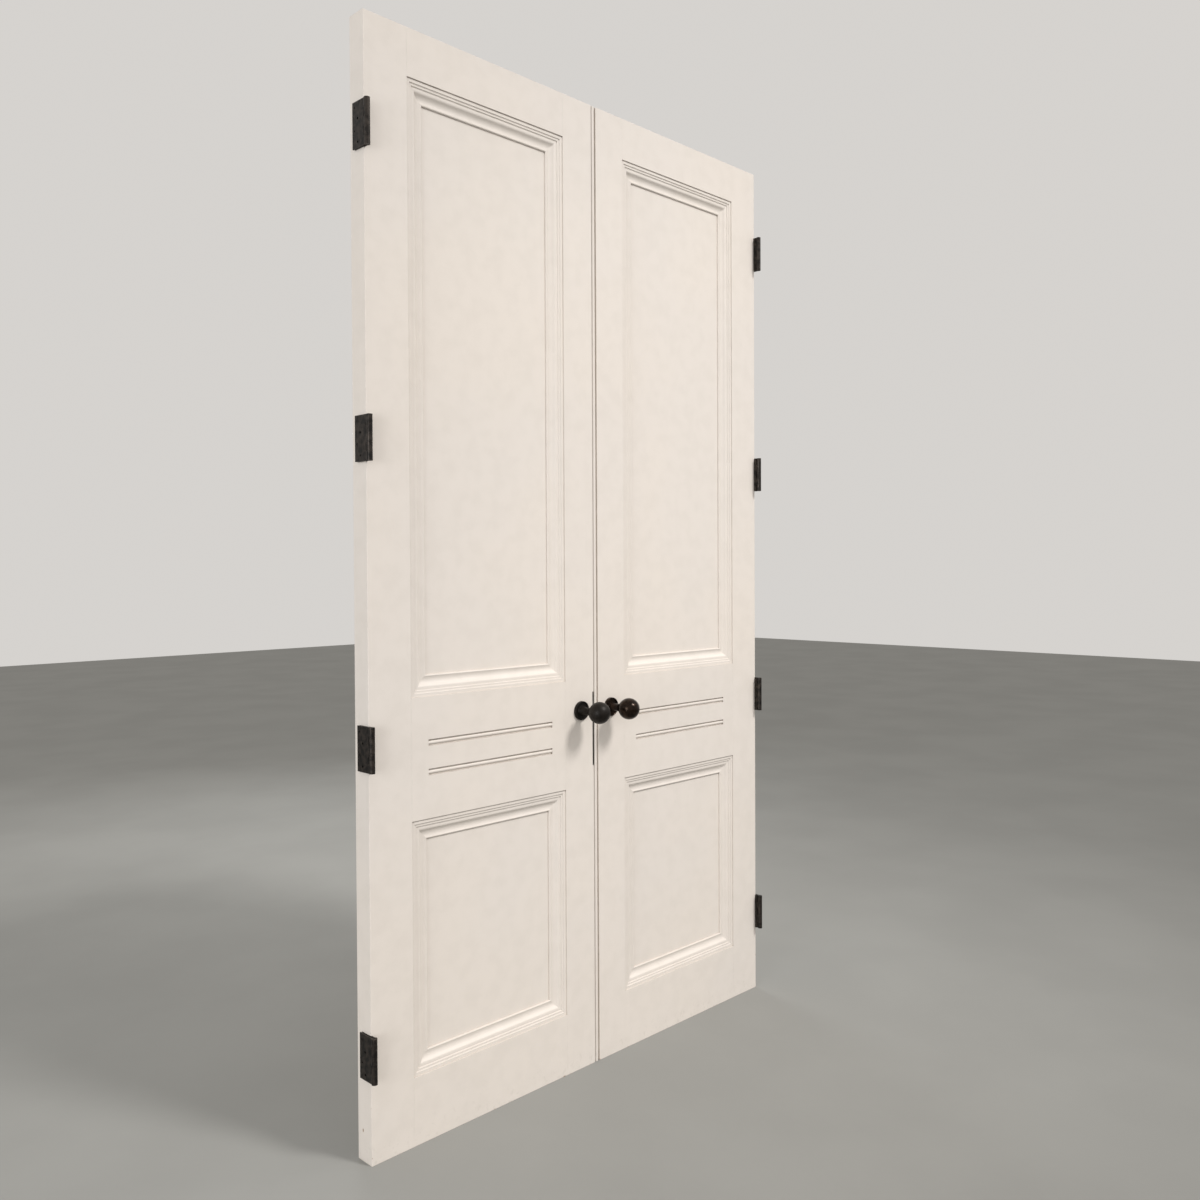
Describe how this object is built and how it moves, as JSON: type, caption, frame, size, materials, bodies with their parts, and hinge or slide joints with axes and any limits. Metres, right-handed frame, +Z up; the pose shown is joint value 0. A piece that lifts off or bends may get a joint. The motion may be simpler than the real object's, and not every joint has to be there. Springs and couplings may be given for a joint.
{
  "type": "panelled double door",
  "caption": "Pair of tall solid panelled doors with projecting butt hinges, a latch and ball knobs.",
  "frame": {"origin": "bottom of the doors, in the middle of the pair's width and of the doors' thickness", "axes": "+X to the right seen from the front, +Y from the front face to the back, +Z up; the doors are shut"},
  "size_m": [1.4284, 0.249, 2.54],
  "materials": {
    "frame_paint": "timber under warm off-white satin paint",
    "panel_paint": "timber under warm off-white satin paint",
    "moulding_paint": "timber under warm off-white satin paint",
    "black_iron": "blackened, slightly worn",
    "screw_steel": "darkened steel",
    "lock_furniture": "darkened steel",
    "lock_steel": "plain steel",
    "left_knob_black": "black, satin",
    "right_knob_bronze": "dark bronze-brown, satin"
  },
  "bodies": {
    "hinge_frame_side": {"hinge_pins": "black_iron", "left_hinge_1_frame_plate": "black_iron", "left_hinge_2_frame_plate": "black_iron", "left_hinge_3_frame_plate": "black_iron", "left_hinge_4_frame_plate": "black_iron", "right_hinge_1_frame_plate": "black_iron", "right_hinge_2_frame_plate": "black_iron", "right_hinge_3_frame_plate": "black_iron", "right_hinge_4_frame_plate": "black_iron"},
    "left_door": {"forend": "lock_furniture", "forend_screws": "lock_furniture", "left_bottom_rail": "frame_paint", "left_hanging_stile": "frame_paint", "left_hinge_1_door_plate": "black_iron", "left_hinge_2_door_plate": "black_iron", "left_hinge_3_door_plate": "black_iron", "left_hinge_4_door_plate": "black_iron", "left_hinge_screws": "screw_steel", "left_lock_rail": "frame_paint", "left_lower_moulding_back": "moulding_paint", "left_lower_moulding_front": "moulding_paint", "left_lower_panel": "panel_paint", "left_meeting_stile": "frame_paint", "left_rose_back": "left_knob_black", "left_rose_front": "left_knob_black", "left_top_rail": "frame_paint", "left_upper_moulding_back": "moulding_paint", "left_upper_moulding_front": "moulding_paint", "left_upper_panel": "panel_paint", "lock_case": "lock_steel", "lock_cover": "lock_steel"},
    "right_door": {"right_bottom_rail": "frame_paint", "right_hanging_stile": "frame_paint", "right_hinge_1_door_plate": "black_iron", "right_hinge_2_door_plate": "black_iron", "right_hinge_3_door_plate": "black_iron", "right_hinge_4_door_plate": "black_iron", "right_hinge_screws": "screw_steel", "right_knob_back": "right_knob_bronze", "right_knob_bar": "lock_steel", "right_knob_front": "right_knob_bronze", "right_lock_rail": "frame_paint", "right_lower_moulding_back": "moulding_paint", "right_lower_moulding_front": "moulding_paint", "right_lower_panel": "panel_paint", "right_meeting_stile": "frame_paint", "right_rose_back": "right_knob_bronze", "right_rose_front": "right_knob_bronze", "right_top_rail": "frame_paint", "right_upper_moulding_back": "moulding_paint", "right_upper_moulding_front": "moulding_paint", "right_upper_panel": "panel_paint", "strike_plate": "lock_furniture", "strike_screws": "lock_furniture"},
    "left_knobs": {"follower": "lock_steel", "left_knob_back": "left_knob_black", "left_knob_bar": "lock_steel", "left_knob_front": "left_knob_black"},
    "latch": {"latch_bolt": "lock_steel"}
  },
  "joints": [
    {"name": "left_door_swing", "type": "hinge", "parent": "hinge_frame_side", "child": "left_door", "pos_m": [-0.7075, -0.0425, 0], "axis": [0, 0, -1], "range_deg": [0, 170]},
    {"name": "right_door_swing", "type": "hinge", "parent": "hinge_frame_side", "child": "right_door", "pos_m": [0.7075, -0.0425, 0], "axis": [0, 0, 1], "range_deg": [0, 170]},
    {"name": "knob_turn", "type": "hinge", "parent": "left_door", "child": "left_knobs", "pos_m": [-0.0555, 0, 0.946], "axis": [0, 1, 0], "range_deg": [0, 50]},
    {"name": "latch_slide", "type": "slide", "parent": "left_door", "child": "latch", "axis": [1, 0, 0], "range_m": [0, 0.012]}
  ],
  "couplings": [
    {"joint": "latch_slide", "follows": "knob_turn", "m_per_rad": 0.01375}
  ]
}
